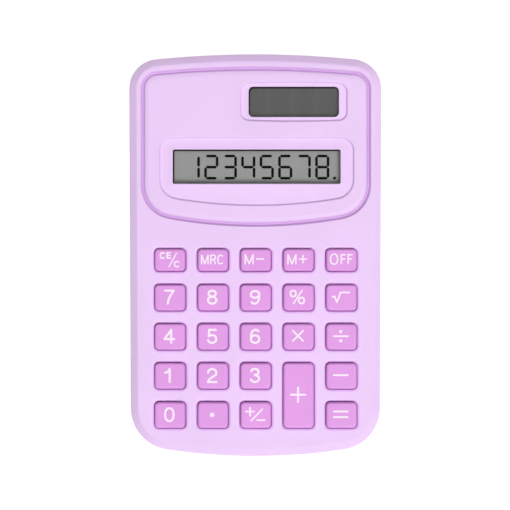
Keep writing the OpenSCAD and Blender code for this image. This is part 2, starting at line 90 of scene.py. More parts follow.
PITCH_X, PITCH_Y = 12.2, 11.15
KEYPAD_AT = (0.1, -12.1)
TOP_ROW_UP = 10.7
CAP_W, CAP_H, CAP_H_TOP, CAP_R, CAP_GAP = 8.7, 7.4, 6.3, 1.2, 0.25
FLANGE_LOW, FLANGE_HIGH, FLANGE = 6.75, 7.4, 0.7
CAP_WALL, PLUNGER_R = 0.9, 2.0

CELL_AT, CELL_R = (-16, 45), 6.0
DOOR_AT, DOOR_SIZE, DOOR_R = (-16, 43.7), (15, 19), 1.45
DOOR_SCREW_AT = (-16, 36.4)
CASE_SCREWS = [(29.5, 49.5), (-29.5, 49.5), (31.9, 8), (-31.9, 8), (18.3, -52.6), (-18.3, -52.6)]
BOARD_SCREWS = [(-18.2, -6.75), (18.4, -6.75), (-18.2, -28.8), (18.4, -28.8), (-6, -39.95),
                (28, 33.7), (-28, 33.7)]
# name, node, places, then radius, head radius, and the heights of the head, its seat and the tip
SCREWS = [("case_screw_set", "case_screws", CASE_SCREWS, (0.85, 1.7, 0.45, 1.44, 7.2)),
          ("board_screw_set", "pcb_screws", BOARD_SCREWS, (0.6, 1.35, 2.76, 3.59, 6.8)),
          ("hatch_screw", "door_screw", [DOOR_SCREW_AT], (0.6, 1.35, 0.12, 0.74, 3.0))]

# name, column, row; the plus key is as tall as two rows
KEYS = [("clear", 0, 0), ("recall", 1, 0), ("memory_minus", 2, 0), ("memory_plus", 3, 0), ("off", 4, 0),
        ("7", 0, 1), ("8", 1, 1), ("9", 2, 1), ("percent", 3, 1), ("root", 4, 1),
        ("4", 0, 2), ("5", 1, 2), ("6", 2, 2), ("multiply", 3, 2), ("divide", 4, 2),
        ("1", 0, 3), ("2", 1, 3), ("3", 2, 3), ("plus", 3, 3.5), ("minus", 4, 3),
        ("0", 0, 4), ("point", 1, 4), ("sign", 2, 4), ("equals", 4, 4)]


def key_centre(column, row):
    x = KEYPAD_AT[0] + (column - 2) * PITCH_X
    y = KEYPAD_AT[1] + (TOP_ROW_UP if row == 0 else -(row - 1) * PITCH_Y)
    return x, y


def key_height(row):
    return {0: CAP_H_TOP, 3.5: CAP_H + PITCH_Y}.get(row, CAP_H)


# ---------------------------------------------------------------- outlines and profiles

def box_shape(width, height, radius):
    return (width / 2, height / 2, STRAIGHT, radius, -height / 2, STRAIGHT, radius)


def arc(centre, radius, start, end, steps):
    """Points along an arc, its last point left out."""
    turn = (end - start) / steps
    return [(centre[0] + radius * math.cos(start + i * turn), centre[1] + radius * math.sin(start + i * turn))
            for i in range(steps)]


def outline(shape, inset=0.0, at=(0, 0), end_steps=2, corner_steps=6):
    """Points counter-clockwise round a shape with bowed ends and round corners, from its upper right."""
    half, top, top_bow, top_r, low, low_bow, low_r = shape

    def corner(bow_y, bow, radius, side):
        x = half - radius
        return x, bow_y + side * math.sqrt((bow - radius) ** 2 - x * x)

    top_y, low_y = top - top_bow, low + low_bow
    high, deep = corner(top_y, top_bow, top_r, 1), corner(low_y, low_bow, low_r, -1)
    rise = math.atan2(high[1] - top_y, high[0])
    fall = math.atan2(deep[1] - low_y, deep[0])
    half_turn = math.pi
    points = arc((0, top_y), top_bow - inset, rise, half_turn - rise, end_steps)
    points += arc((-high[0], high[1]), top_r - inset, half_turn - rise, half_turn, corner_steps) + \
        [(-half + inset, high[1])]
    points += arc((-deep[0], deep[1]), low_r - inset, half_turn, half_turn - fall, corner_steps)
    points += arc((0, low_y), low_bow - inset, half_turn - fall, 2 * half_turn + fall, end_steps)
    points += arc(deep, low_r - inset, fall, 0, corner_steps) + [(half - inset, deep[1])]
    points += arc(high, top_r - inset, 0, rise, corner_steps)
    return [(x + at[0], y + at[1]) for x, y in points]


def case_outline(inset):
    """The case narrows a little towards its lower end."""
    points = outline(CASE, inset, end_steps=40, corner_steps=14)
    return [(x * (1 - TAPER * max(0, TAPER_FROM - y)), y) for x, y in points]


def circle(at, radius, steps=32):
    return arc(at, radius, 0, 2 * math.pi, steps)


def rounded_path(corners, steps=5):
    """A line through (x, y, radius) corners, each turned with its radius."""
    points = [Vector(corners[0][:2])]
    for before, (x, y, radius), after in zip(corners, corners[1:], corners[2:]):
        here = Vector((x, y))
        if not radius:
            points.append(here)
            continue
        back = (Vector(before[:2]) - here).normalized()
        on = (Vector(after[:2]) - here).normalized()
        half = back.angle(on) / 2
        centre = here + (back + on).normalized() * radius / math.sin(half)
        start = here + back * radius / math.tan(half) - centre
        sweep = start.angle_signed(here + on * radius / math.tan(half) - centre)
        points += [centre + Matrix.Rotation(-sweep * i / steps, 2) @ start for i in range(steps + 1)]
    return points + [Vector(corners[-1][:2])]


# ---------------------------------------------------------------- mesh building

def ring(bm, points, z):
    return [bm.verts.new((x, y, z)) for x, y in points]


def skin(bm, rings):
    """Quads between one ring of vertices and the next."""
    for a, b in zip(rings, rings[1:]):
        for i in range(len(a)):
            bm.faces.new((a[i - 1], a[i], b[i], b[i - 1]))


def flat(bm, *rings):
    """A level surface bounded by closed rings; the rings inside the outermost one are holes."""
    edges = []
    for r in rings:
        for i in range(len(r)):
            edges.append(bm.edges.get((r[i - 1], r[i])) or bm.edges.new((r[i - 1], r[i])))
    bmesh.ops.triangle_fill(bm, use_beauty=True, edges=edges)


def loft(bm, outline_at, profile):
    """Rings of outline_at(inset) at each (inset, z) of the profile, skinned."""
    rings = [ring(bm, outline_at(inset), z) for inset, z in profile]
    skin(bm, rings)
    return rings


def turned(bm, at, section, steps=32):
    """A ring-shaped solid: a closed section of (radius, z) points turned about a vertical axis."""
    rings = [ring(bm, circle(at, radius, steps), z) for radius, z in section]
    skin(bm, rings + rings[:1])


def tube(bm, outer, inner, low, high):
    """An upright wall between two outlines with the same number of points."""
    rings = [ring(bm, points, z) for points, z in ((outer, low), (outer, high), (inner, high), (inner, low))]
    skin(bm, rings + rings[:1])


def block(bm, x, y, z):
    """A box from its low and high ends along each axis."""
    corners = [(x[0], y[0]), (x[1], y[0]), (x[1], y[1]), (x[0], y[1])]
    rings = [ring(bm, corners, level) for level in z]
    skin(bm, rings)
    for r in rings:
        bm.faces.new(r)


def piece(bm, name, material, body="case", replaces=(), sharp=38):
    """Finishes a mesh drawn in millimetres and puts it on its body."""
    bmesh.ops.remove_doubles(bm, verts=bm.verts, dist=1e-5)
    bmesh.ops.recalc_face_normals(bm, faces=bm.faces)
    mesh = bpy.data.meshes.new(name)
    bm.to_mesh(mesh)
    bm.free()
    mesh.transform(Matrix.Scale(MM, 4))
    mesh.shade_smooth()
    mesh.set_sharp_from_angle(angle=math.radians(sharp))
    mesh.materials.append(material)
    obj = bpy.data.objects.new(name, mesh)
    bpy.context.scene.collection.objects.link(obj)
    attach(obj, body)
    if replaces:
        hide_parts(*replaces)
    return obj


# ---------------------------------------------------------------- materials

def linear(colour):
    """An 8-bit sRGB colour as linear RGBA."""
    values = [c / 255 for c in colour]
    return [v / 12.92 if v <= 0.04045 else ((v + 0.055) / 1.055) ** 2.4 for v in values] + [1]


class Surface:
    """A Principled material whose colour, roughness and relief vary over the surface."""

    def __init__(self, name, **fixed):
        self.material = bpy.data.materials.new(name)
        self.material.use_nodes = True
        self.tree = self.material.node_tree
        self.shader = self.tree.nodes["Principled BSDF"]
        self.place = self.add("ShaderNodeTexCoord").outputs["Object"]
        for socket, value in fixed.items():
            self.shader.inputs[socket.replace("_", " ")].default_value = value

    def add(self, kind, **values):
        node = self.tree.nodes.new(kind)
        for key, value in values.items():
            if key in node.inputs:
                node.inputs[key].default_value = value
            else:
                setattr(node, key, value)
        return node

    def link(self, output, target):
        self.tree.links.new(output, target)

    def stretched(self, scale):
        node = self.add("ShaderNodeMapping", Scale=scale)
        self.link(self.place, node.inputs["Vector"])
        return node.outputs["Vector"]

    def noise(self, scale, detail=2.0, place=None):
        node = self.add("ShaderNodeTexNoise", Scale=scale, Detail=detail)
        self.link(place or self.place, node.inputs["Vector"])
        return node.outputs["Fac"]

    def ramp(self, source, stops):
        node = self.add("ShaderNodeValToRGB")
        elements = node.color_ramp.elements
        for i, (position, colour) in enumerate(stops):
            element = elements[i] if i < 2 else elements.new(position)
            element.position = position
            element.color = colour
        self.link(source, node.inputs["Fac"])
        return node.outputs["Color"]

    def colour(self, source, low, high):
        """Base colour between two sRGB colours, by a source from about 0.3 to 0.7."""
        between = self.ramp(source, [(0.3, linear(low)), (0.7, linear(high))])
        self.link(between, self.shader.inputs["Base Color"])

    def roughness(self, source, low, high):
        node = self.add("ShaderNodeMapRange")
        for key, value in {"From Min": 0.3, "From Max": 0.7, "To Min": low, "To Max": high}.items():
            node.inputs[key].default_value = value
        self.link(source, node.inputs["Value"])
        self.link(node.outputs["Result"], self.shader.inputs["Roughness"])

    def relief(self, source, height, strength=0.5):
        """Bump of that height in millimetres."""
        node = self.add("ShaderNodeBump", Strength=strength, Distance=height * MM)
        self.link(source, node.inputs["Height"])
        self.link(node.outputs["Normal"], self.shader.inputs["Normal"])

    def satin(self, rough, grain):
        """The fine spark-eroded grain of a moulded surface."""
        self.roughness(self.noise(900, 3), *rough)
        self.relief(self.noise(7000, 2), grain, 0.35)


def shades(colour, spread):
    """Two colours a little darker and a little lighter than one."""
    return [tuple(max(0, min(255, c * (1 + side * spread))) for c in colour) for side in (-1, 1)]


def moulded(name, colour, spread=0.008, rough=(0.38, 0.46), grain=0.004, **fixed):
    """Satin injection-moulded plastic with faint clouding."""
    s = Surface(name, **fixed)
    s.colour(s.noise(70, 3), *shades(colour, spread))
    s.satin(rough, grain)
    return s.material


def painted_shade_by_depth(name, colour, shaded_colour, top, low, rough, grain=0.004):
    """Moulded plastic with painted shade: it darkens in tone from one height down to another, in millimetres.
    """
    s = Surface(name)
    height = s.add("ShaderNodeSeparateXYZ")
    s.link(s.place, height.inputs["Vector"])
    depth = s.add("ShaderNodeMapRange")
    for key, value in {"From Min": top * MM, "From Max": low * MM, "To Min": 0.3, "To Max": 0.7}.items():
        depth.inputs[key].default_value = value
    s.link(height.outputs["Z"], depth.inputs["Value"])
    s.colour(depth.outputs["Result"], colour, shaded_colour)
    s.satin(rough, grain)
    return s.material


def brushed(name, colour, rough=(0.22, 0.4), scale=(400, 9000, 400)):
    """Plated or brushed metal with fine drawn lines."""
    s = Surface(name, Metallic=1.0)
    lines = s.noise(1, 4, s.stretched(scale))
    s.colour(s.noise(300, 2), *shades(colour, 0.05))
    s.roughness(lines, *rough)
    s.relief(lines, 0.004, 0.3)
    return s.material


def foam(name, colour):
    """Open-celled foam, its cells shown by tone and relief."""
    s = Surface(name)
    cells = s.add("ShaderNodeTexVoronoi", Scale=4200)
    s.link(s.place, cells.inputs["Vector"])
    s.colour(cells.outputs["Distance"], *shades(colour, 0.25))
    s.roughness(s.noise(1200), 0.85, 0.97)
    s.relief(cells.outputs["Distance"], 0.05, 0.7)
    return s.material


def clear(name, tint, rough=0.05):
    """A clear layer: it reflects a small share of the light head on, and more at a glancing angle."""
    head_on = 0.01
    s = Surface(name, Metallic=1.0)
    s.colour(s.noise(120, 2), *shades(tint, 0.02))
    s.roughness(s.noise(500, 2), rough, rough + 0.04)
    s.relief(s.noise(160, 2), 0.002, 0.2)
    facing = s.add("ShaderNodeLayerWeight", Blend=0.5)
    steep = s.add("ShaderNodeMath", operation="POWER")
    steep.inputs[1].default_value = 5
    sheen = s.add("ShaderNodeMath", operation="MULTIPLY_ADD")
    sheen.inputs[1].default_value = 1 - head_on
    sheen.inputs[2].default_value = head_on
    s.link(facing.outputs["Facing"], steep.inputs[0])
    s.link(steep.outputs["Value"], sheen.inputs[0])
    s.link(sheen.outputs["Value"], s.shader.inputs["Alpha"])
    return s.material


def laminate(name):
    """A circuit board under green resist: copper runs about 2 mm long, and darker gaps between them."""
    s = Surface(name)
    runs = s.add("ShaderNodeTexBrick", Scale=250, offset=0.5)
    runs.inputs["Color1"].default_value = linear((62, 120, 74))
    runs.inputs["Color2"].default_value = linear((70, 130, 80))
    runs.inputs["Mortar"].default_value = linear((38, 88, 54))
    runs.inputs["Mortar Size"].default_value = 0.16
    s.link(s.stretched((1.0, 2.2, 1.0)), runs.inputs["Vector"])
    s.link(runs.outputs["Color"], s.shader.inputs["Base Color"])
    s.roughness(s.noise(900, 3), 0.3, 0.45)
    s.relief(runs.outputs["Fac"], 0.02, -0.5)
    return s.material


def solar_layer(name, colour):
    """Amorphous silicon under glass: dark, with a faint border every 7 mm where two cells meet."""
    s = Surface(name, Coat_Weight=0.3, Coat_Roughness=0.08)
    borders = s.add("ShaderNodeTexWave", Scale=44.5, bands_direction="X", wave_type="BANDS", Distortion=0.0)
    s.link(s.place, borders.inputs["Vector"])
    low, high = shades(colour, 0.02)
    line = [c * 1.1 for c in colour]
    tone = s.ramp(borders.outputs["Fac"], [(0.0, linear(low)), (0.985, linear(high)), (1.0, linear(line))])
    s.link(tone, s.shader.inputs["Base Color"])
    s.roughness(s.noise(400), 0.3, 0.4)
    s.relief(s.noise(2000), 0.002, 0.3)
    return s.material


LILAC, SHADED_LILAC = (238, 206, 250), (215, 175, 228)
HOUSING_ROUGH = (0.5, 0.58)
HOUSING = moulded("lilac_housing", LILAC, rough=HOUSING_ROUGH)
# Painted shade: the groove's faces darken with depth, standing in for shade in the groove.
GROOVE = painted_shade_by_depth("lilac_groove_painted_shade", LILAC, SHADED_LILAC, FACE - 0.05, GROOVE_FLOOR + 0.35, HOUSING_ROUGH)
CAPS = moulded("orchid_caps", (229, 155, 233), spread=0.012, rough=(0.3, 0.38), grain=0.003)
PRINT = moulded("white_ink", (252, 236, 252), spread=0.004, rough=(0.4, 0.55), grain=0.002)
STEEL = brushed("zinc_plated_steel", (196, 196, 202))
SILICONE = moulded("milky_silicone", (222, 222, 218), rough=(0.45, 0.6), Subsurface_Weight=0.3,
                   Subsurface_Scale=0.002)
CARBON = moulded("carbon_rubber", (34, 33, 34), spread=0.15, rough=(0.6, 0.75))
WINDOW = clear("clear_acrylic", (235, 238, 236))
CELL_GLASS = clear("display_glass", (205, 210, 206), 0.1)
# Black foam gaskets. The edge of each that shows at the top and left of its window is a dark strip standing
# in for shade there, so partly painted shade.
SHADE_GASKET = foam("black_foam", (22, 18, 24))
FOAM = foam("grey_foam", (120, 120, 122))

NODE_MATERIALS = {
    "pcb": laminate("green_resist_board"),
    "contact_pads": moulded("carbon_ink", (38, 38, 40), spread=0.12, rough=(0.5, 0.65)),
    "cob_blob": moulded("black_epoxy", (24, 24, 26), spread=0.1, rough=(0.2, 0.32)),
    "capacitor_chips": moulded("chip_ceramic", (176, 152, 118), spread=0.06, rough=(0.4, 0.55)),
    "resistor_chip": moulded("chip_body", (40, 40, 44), spread=0.08, rough=(0.3, 0.42)),
    "battery_cell": brushed("stainless_cell", (206, 206, 208), rough=(0.16, 0.3)),
    "battery_contact_positive": brushed("nickel_spring", (204, 200, 190)),
    "battery_contact_negative": brushed("nickel_spring_plate", (200, 196, 188)),
    "battery_wire_positive": moulded("red_insulation", (178, 30, 34), spread=0.04, rough=(0.35, 0.5)),
    "solar_wire_positive": moulded("red_insulation_thin", (184, 34, 38), spread=0.04, rough=(0.35, 0.5)),
    "battery_wire_negative": moulded("black_insulation", (30, 30, 32), spread=0.08, rough=(0.35, 0.5)),
    "solar_wire_negative": moulded("black_insulation_thin", (34, 34, 36), spread=0.08, rough=(0.35, 0.5)),
    "display_lens": WINDOW,
    "solar_lens": WINDOW,
    # The gaskets' black edge at the top and left of the windows is painted shade.
    "display_gasket": SHADE_GASKET,
    "solar_gasket": SHADE_GASKET,
    "lcd_segments": moulded("liquid_crystal", (7, 7, 8), spread=0.2, rough=(0.5, 0.6),
                            Specular_IOR_Level=0.0),
    "lcd_rear_glass": moulded("reflective_field", (152, 152, 151), spread=0.01, rough=(0.5, 0.6)),
    "lcd_reflector": brushed("reflector_film", (190, 190, 188), rough=(0.3, 0.5), scale=(900, 900, 900)),
    "lcd_foam_pad": FOAM,
    "zebra_strip": moulded("zebra_rubber", (70, 70, 74), spread=0.3, rough=(0.6, 0.75)),
    "solar_cell": solar_layer("silicon_layer", (72, 72, 72)),
}


def dress_nodes():
    """The CAD nodes that stay get their material, and a hairline bevel on their sharp edges."""
    widest, share_of_thickness = 0.06, 0.2
    for name, material in NODE_MATERIALS.items():
        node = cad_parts[name]
        node.data.materials.clear()
        node.data.materials.append(material)
        thin = min(high - low for low, high in zip(*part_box(name)))
        bevel = node.modifiers.new("edge", "BEVEL")
        bevel.width = min(widest * MM, thin * share_of_thickness)
        bevel.segments = 2
        bevel.limit_method = "ANGLE"
        bevel.angle_limit = math.radians(50)


# ---------------------------------------------------------------- front housing

def window(bm, dish, x, at, size, radius):
    """A dished surround and the opening in it; gives the rings at the face and at the inner side."""
    steps = {"end_steps": 24, "corner_steps": 10}

    def surround(inset):
        return outline(dish, inset, (x, 0), **steps)

    opening_shape = box_shape(*size, radius)

    def opening(inset):
        return outline(opening_shape, inset, at, **steps)

    edge = rounded_path([(-0.6, FACE, 0), (-0.15, FACE, 0.3), (0.25, DISH_FLOOR, 0.2), (1.0, DISH_FLOOR, 0)])
    rings = [ring(bm, surround(inset), z) for inset, z in edge]
    lip = rounded_path([(-0.62, DISH_FLOOR - 0.02, 0), (-0.42, DISH_FLOOR + 0.03, 0.2),
                        (0.0, DISH_FLOOR + 0.03, 0.14), (0.0, UNDER, 0)])
    rings += [ring(bm, opening(inset), z) for inset, z in lip]
    skin(bm, rings)
    return rings[0], rings[-1]


def post(bm, at, bore, bore_top, radius, low):
    """A screw post moulded to the inner side of the face."""
    root, tip = UNDER + 0.1, 0.3
    turned(bm, at, [(bore, low), (bore, bore_top), (tip, root), (radius, root), (radius, low)])


def front_shell():
    """The front half, its panel groove, dishes, key holes, screw posts and lens frames in one mesh."""
    bm = bmesh.new()
    rim = rounded_path([(REBATE, SPLIT, 0), (SEAM, SPLIT, 0.03), (0.0, SPLIT + SEAM, 0.08), (0.0, 6.8, 0.6),
                        (0.42, 7.55, 0.6), (2.15, FACE, 0.9), (2.5, FACE, 0)], 7)
    rebate_top = LIP_TOP + 0.1
    ceiling, *_, rebate = loft(bm, case_outline, [(WALL, UNDER), (WALL, rebate_top), (REBATE, rebate_top)])
    outer = loft(bm, case_outline, rim)
    skin(bm, [rebate, outer[0]])

    groove = rounded_path([(-0.1, FACE, 0), (0.06, FACE, 0.12), (0.68, GROOVE_FLOOR, 0.12),
                           (0.86, GROOVE_FLOOR, 0.12), (1.4, FACE - 0.16, 0.5), (2.5, FACE, 3.0),
                           (2.9, FACE, 0)], 6)
    groove_rings = loft(bm, lambda s: outline(PANEL, s, (PANEL_X, 0), end_steps=40, corner_steps=14), groove)
    # The groove's faces take the second material, whose darker tone is painted shade.
    for face in {face for r in groove_rings for v in r for face in v.link_faces}:
        face.material_index = 1

    display = window(bm, DISH, DISPLAY_AT[0], DISPLAY_AT, DISPLAY_SIZE, DISPLAY_R)
    solar = window(bm, SOLAR_DISH, SOLAR_AT[0], SOLAR_AT, SOLAR_SIZE, SOLAR_R)

    hole_edge = rounded_path([(-1.0, FACE, 0), (-0.5, FACE, 0.7), (0.0, FACE - 0.35, 0.3), (0.0, UNDER, 0)])
    holes = []
    for _, column, row in KEYS:
        shape = box_shape(CAP_W + 2 * CAP_GAP, key_height(row) + 2 * CAP_GAP, CAP_R + CAP_GAP)
        centre = key_centre(column, row)
        holes.append(loft(bm, lambda s: outline(shape, s, centre, corner_steps=8), hole_edge))

    flat(bm, outer[-1], groove_rings[0], *[h[0] for h in holes])
    flat(bm, groove_rings[-1], display[0], solar[0])
    flat(bm, ceiling, display[1], solar[1], *[h[-1] for h in holes])

    for at in CASE_SCREWS:
        post(bm, at, 0.88, 7.3, 1.85, SPLIT)
    for at in BOARD_SCREWS:
        post(bm, at, 0.63, 7.0, 1.55, POST_END)
    for name, low in (("display_lens", 5.0), ("solar_lens", 5.6)):
        a, b = [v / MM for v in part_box(name)]
        centre, width, height = ((a.x + b.x) / 2, (a.y + b.y) / 2), b.x - a.x, b.y - a.y
        tube(bm, outline(box_shape(width + 2.2, height + 2.2, 0.8), 0, centre),
             outline(box_shape(width + 0.3, height + 0.3, 0.4), 0, centre), low, UNDER + 0.1)
    shell = piece(bm, "front_shell", HOUSING, replaces=["front_housing"])
    # The second material paints shade into the groove.
    shell.data.materials.append(GROOVE)


def display_cell():
    """The front glass with the polarizing film on it, a little smaller than the glass all round."""
    bm = bmesh.new()
    rings = []
    for node, top_edge in (("lcd_front_glass", 0.05), ("lcd_front_polarizer", 0.03)):
        low, high = [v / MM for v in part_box(node)]
        shape = box_shape(high.x - low.x, high.y - low.y, 0.4)
        centre = ((low.x + high.x) / 2, (low.y + high.y) / 2)
        rings += [ring(bm, outline(shape, inset, centre), z)
                  for inset, z in ((0, low.z), (0, high.z - top_edge), (top_edge, high.z))]
    skin(bm, rings)
    flat(bm, rings[0])
    flat(bm, rings[-1])
    piece(bm, "display_cell", CELL_GLASS,
          replaces=["lcd_front_glass", "lcd_front_polarizer"])


# ---------------------------------------------------------------- rear housing, door and screws

def rear_shell():
    """The rear half, its lip, screw holes and pillars, battery bay and ribs in one mesh."""
    bm = bmesh.new()
    outer = rounded_path([(LIP_FACE, SPLIT, 0), (SEAM, SPLIT, 0.03), (0.0, SPLIT - SEAM, 0.08),
                          (0.0, 0.0, 1.5), (1.65, 0.0, 0)], 9)
    lip, *_, floor = loft(bm, case_outline, [(LIP_FACE, LIP_TOP), (WALL, LIP_TOP), (WALL, BACK)])
    rings = loft(bm, case_outline, outer)
    skin(bm, [lip, rings[0]])

    hole_edge = rounded_path([(-0.18, 0.0, 0), (0.0, 0.0, 0.12), (0.0, BACK, 0)], 4)
    screw_hole_r, door_gap = 1.85, 0.15
    holes = [loft(bm, lambda s: circle(at, screw_hole_r - s), hole_edge) for at in CASE_SCREWS]
    bay = box_shape(DOOR_SIZE[0] + 2 * door_gap, DOOR_SIZE[1] + 2 * door_gap, DOOR_R + door_gap)
    bay_rings = loft(bm, lambda s: outline(bay, s, DOOR_AT, corner_steps=8), hole_edge)
    flat(bm, rings[-1], bay_rings[0], *[h[0] for h in holes])

    seat_top, holder_top, holder_r = 2.1, 4.9, CELL_R + 1.2
    seat = outline(box_shape(DOOR_SIZE[0] + 4, DOOR_SIZE[1] + 2.9, 1.5), 0, DOOR_AT, corner_steps=8)
    seat_rings = [ring(bm, seat, BACK), ring(bm, seat, seat_top)]
    holder = [ring(bm, circle(CELL_AT, radius), z) for radius, z in
              ((holder_r, seat_top), (holder_r, holder_top), (CELL_R, holder_top), (CELL_R, BACK))]
    skin(bm, seat_rings)
    skin(bm, holder)
    flat(bm, floor, seat_rings[0], *[h[-1] for h in holes])
    flat(bm, seat_rings[1], holder[0])
    flat(bm, bay_rings[-1], holder[-1])

    head_seat, bore, step_top = 1.45, 1.0, 3.4
    for at in CASE_SCREWS:
        turned(bm, at, [(screw_hole_r, BACK), (screw_hole_r, head_seat), (bore, head_seat), (bore, SPLIT),
                        (1.8, SPLIT), (1.8, step_top), (2.5, step_top), (2.5, 1.1), (2.0, 1.1)])
    turned(bm, DOOR_SCREW_AT, [(0.63, 2.0), (0.63, 3.1), (0.3, step_top), (1.7, step_top), (1.7, 2.0)], 24)
    for y in (-45, -20, 4.6):
        block(bm, (-27, 27), (y, y + 1), (BACK - 0.2, step_top))
    piece(bm, "rear_shell", HOUSING, replaces=["rear_housing"])


def battery_door():
    """The door, with five finger slots, a screw hole and two hooks."""
    bm = bmesh.new()
    low, high = 0.05, 1.2
    body = box_shape(*DOOR_SIZE, DOOR_R)
    section = rounded_path([(0.5, high, 0), (0.0, high, 0.05), (0.0, low, 0.22), (0.6, low, 0)])
    rings = loft(bm, lambda s: outline(body, s, DOOR_AT, corner_steps=8), section)
    pits = []
    slot, slot_pitch, first_slot = box_shape(6, 0.36, 0.17), 0.7, 49.35
    for n in range(5):
        at = (DOOR_AT[0], first_slot + n * slot_pitch)
        pit = rounded_path([(-0.08, low, 0), (0.0, low, 0.05), (0.08, low + 0.24, 0)], 3)
        pit_rings = loft(bm, lambda s: outline(slot, s, at), pit)
        flat(bm, pit_rings[-1])
        pits.append(pit_rings[0])
    bore = [ring(bm, circle(DOOR_SCREW_AT, radius), z) for radius, z in
            ((1.55, low), (1.46, low + 0.03), (1.45, 0.75), (0.72, 0.75), (0.72, high))]
    skin(bm, bore)
    flat(bm, rings[-1], bore[0], *pits)
    flat(bm, rings[0], bore[-1])
    hook_out, half_hook = 4.5, 1.5
    for side in (-1, 1):
        middle = DOOR_AT[0] + side * hook_out
        x = (middle - half_hook, middle + half_hook)
        block(bm, x, (51.7, 53.0), (1.0, 1.9))
        block(bm, x, (52.9, 54.3), (1.42, 1.88))
    piece(bm, "battery_hatch", HOUSING, replaces=["battery_door"])


def cross_outline(at, reach, width):
    """A cross with twelve corners, counter-clockwise."""
    h, points = width / 2, []
    for quarter in range(4):
        c, s = math.cos(quarter * math.pi / 2), math.sin(quarter * math.pi / 2)
        points += [(c * x - s * y + at[0], s * x + c * y + at[1])
                   for x, y in ((reach, -h), (reach, h), (h, h))]
    return points


def screw(bm, at, r, head_r, low, seat, tip):
    """A pan-head self-tapping screw, head down, with a cross recess and a rolled thread."""
    steps, pitch = 24, r * 0.85
    root = 0.76             # radius at the bottom of the thread, as a share of r
    point = 1.6 * r         # length of the pointed end
    head = rounded_path([(head_r * 0.7, low, 0), (head_r, low + 0.02, 0.28), (head_r, seat, 0.06),
                         (r, seat, 0)], 4)
    head_rings = [ring(bm, circle(at, radius, steps), z) for radius, z in head]
    recess = [ring(bm, cross_outline(at, head_r * reach, width), z) for reach, width, z in
              ((0.62, 0.36, low), (0.58, 0.3, low + 0.06), (0.42, 0.2, low + 0.42))]
    skin(bm, recess)
    flat(bm, recess[-1])
    flat(bm, head_rings[0], recess[0])

    thread = []
    rows = round((tip - seat) / (pitch / 6))
    for row in range(rows):
        z = seat + (tip - seat) * row / rows
        point_in = min(1, (tip - z) / point)
        points = []
        for i in range(steps):
            turn = i / steps
            ridge = abs(((z / pitch - turn) % 1) - 0.5) * 2
            radius = r * (root + (1 - root) * ridge) * point_in
            points.append((at[0] + radius * math.cos(turn * 2 * math.pi),
                           at[1] + radius * math.sin(turn * 2 * math.pi)))
        thread.append(ring(bm, points, z))
    skin(bm, [head_rings[-1]] + thread)
    bm.faces.new(thread[-1])


def screws():
    """All the screws, a piece for each kind."""
    for name, node, places, sizes in SCREWS:
        bm = bmesh.new()
        for at in places:
            screw(bm, at, *sizes)
        piece(bm, name, STEEL, replaces=[node], sharp=30)


# ---------------------------------------------------------------- keys

def key_cap(name, column, row):
    """A cap with a soft top edge, a flange under the face, a hollow underside and a plunger, and its pill."""
    bm = bmesh.new()
    centre = key_centre(column, row)
    shape = box_shape(CAP_W, key_height(row), CAP_R)
    profile = rounded_path([(CAP_WALL, FLANGE_LOW, 0), (-FLANGE, FLANGE_LOW, 0.08),
                            (-FLANGE, FLANGE_HIGH, 0.08), (0.0, FLANGE_HIGH, 0.05),
                            (0.0, CAP_TOP - 0.55, 0.25), (0.3, CAP_TOP, 0.3), (0.85, CAP_TOP, 0)], 5)
    rings = loft(bm, lambda s: outline(shape, s, centre, corner_steps=8), profile)
    plate = ring(bm, outline(shape, CAP_WALL, centre, corner_steps=8), FACE)
    skin(bm, [rings[0], plate])
    plunger = [ring(bm, circle(centre, radius), z) for radius, z in
               ((PLUNGER_R, FACE), (PLUNGER_R, FLANGE_LOW + 0.1), (PLUNGER_R - 0.1, FLANGE_LOW))]
    skin(bm, plunger)
    flat(bm, rings[-1])
    flat(bm, plate, plunger[0])
    flat(bm, plunger[-1])
    piece(bm, f"cap_{name}", CAPS, f"key_{name}_body", [f"key_{name}"])

    bm = bmesh.new()
    pill_r, low, high, chamfer_r, chamfer_z = 1.5, 5.47, 5.83, 0.08, 0.06
    pill = [ring(bm, circle(centre, radius), z) for radius, z in
            ((pill_r - chamfer_r, low), (pill_r, low + chamfer_z),
             (pill_r, high - chamfer_z), (pill_r - chamfer_r, high))]
    skin(bm, pill)
    flat(bm, pill[0])
    flat(bm, pill[-1])
    stands_for = ["carbon_pills"] if name == KEYS[0][0] else []
    piece(bm, f"pill_{name}", CARBON, f"key_{name}_body", stands_for)


